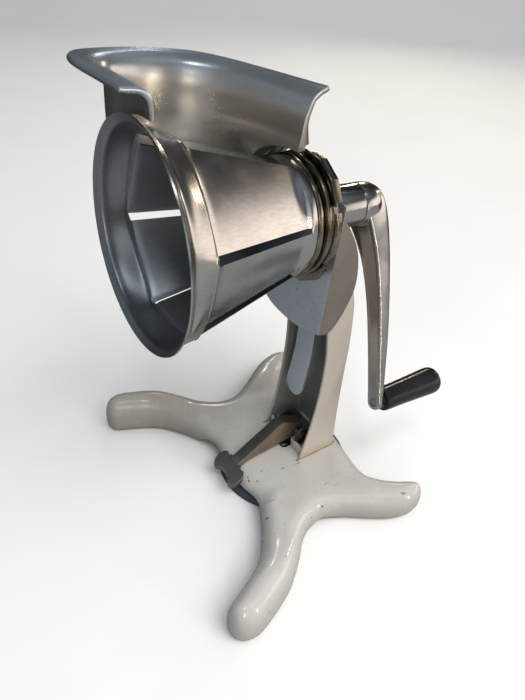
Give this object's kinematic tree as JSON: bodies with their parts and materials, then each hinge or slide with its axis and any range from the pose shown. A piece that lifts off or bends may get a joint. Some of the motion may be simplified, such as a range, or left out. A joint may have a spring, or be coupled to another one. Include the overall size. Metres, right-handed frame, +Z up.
{
  "type": "hand-cranked rotary kitchen slicer",
  "caption": "Hand-cranked table slicer: hollow slotted steel cone and side hopper on a cast head, bow column and four-legged base with suction cup, lever and long crank.",
  "frame": {"origin": "middle of the footprint, on the plane the legs stand on", "axes": "+Z up; -Y is the front, where the cone's mouth points; the crank is at +Y; the hopper is on the -X side"},
  "size_m": [0.2382, 0.213, 0.3169],
  "materials": {
    "cream_enamel": "thick glossy cream-white enamel, small chips and stains",
    "column_enamel": "glossy beige enamel outside, dull grey-green inside",
    "cast_aluminium": "satin ground casting, pitted on the flat front face",
    "polished_aluminium": "buffed, nearly mirror bright, light scratches",
    "cone_steel": "tinned pressed sheet, finely brushed along the cone",
    "tarnished_nickel": "worn nickel plate over brass, dark in the grooves",
    "plain_steel": "plain steel, slightly dull",
    "lever_metal": "dull grey-green plated casting with brownish sides",
    "bronze_bush": "oiled sintered bronze",
    "cup_rubber": "dark blue-grey rubber, matt",
    "black_knob": "black, glossy, lightly worn"
  },
  "bodies": {
    "stand": {"base_casting": "cream_enamel", "column_channel": "column_enamel", "foot_lip_near": "cream_enamel", "foot_lip_far": "cream_enamel", "foot_bracket": "plain_steel", "bracket_screw_near": "plain_steel", "bracket_screw_far": "plain_steel", "lever_pin": "plain_steel", "pin_clip_near": "plain_steel", "pin_clip_far": "plain_steel", "stud_spring": "plain_steel", "head_casting": "cast_aluminium", "head_tongue": "cast_aluminium", "bearing_barrel": "polished_aluminium", "bush_front": "bronze_bush", "bush_rear": "bronze_bush"},
    "rotor": {"drive_shaft": "plain_steel", "drive_ring": "tarnished_nickel", "crank_arm": "polished_aluminium", "knob_pin": "plain_steel", "knob_washer": "plain_steel"},
    "cone": {"cone_shell": "cone_steel", "cone_end_disc": "cone_steel", "cone_collar": "tarnished_nickel"},
    "knob": {"knob_grip": "black_knob"},
    "lever": {"suction_lever": "lever_metal"},
    "cup": {"suction_cup": "cup_rubber", "cup_disc": "plain_steel", "cup_stud": "plain_steel"}
  },
  "joints": [
    {"name": "crank_turn", "type": "hinge", "parent": "stand", "child": "rotor", "pos_m": [0, 0.02956, 0.22847], "axis": [0, 0.9962, -0.0872], "continuous": true},
    {"name": "knob_spin", "type": "hinge", "parent": "rotor", "child": "knob", "pos_m": [0.05491, 0.07794, 0.09311], "axis": [0, 0.9962, -0.0872], "continuous": true},
    {"name": "cone_pull", "type": "slide", "parent": "rotor", "child": "cone", "axis": [0, -0.9962, 0.0872], "range_m": [0, 0.11]},
    {"name": "lever_lift", "type": "hinge", "parent": "stand", "child": "lever", "pos_m": [0, 0.016, 0.036], "axis": [-1, 0, 0], "range_deg": [0, 60]},
    {"name": "cup_lift", "type": "slide", "parent": "stand", "child": "cup", "axis": [0, 0, 1], "range_m": [0, 0.0015]}
  ],
  "couplings": [
    {"joint": "cup_lift", "follows": "lever_lift", "m_per_rad": 0.00143}
  ]
}
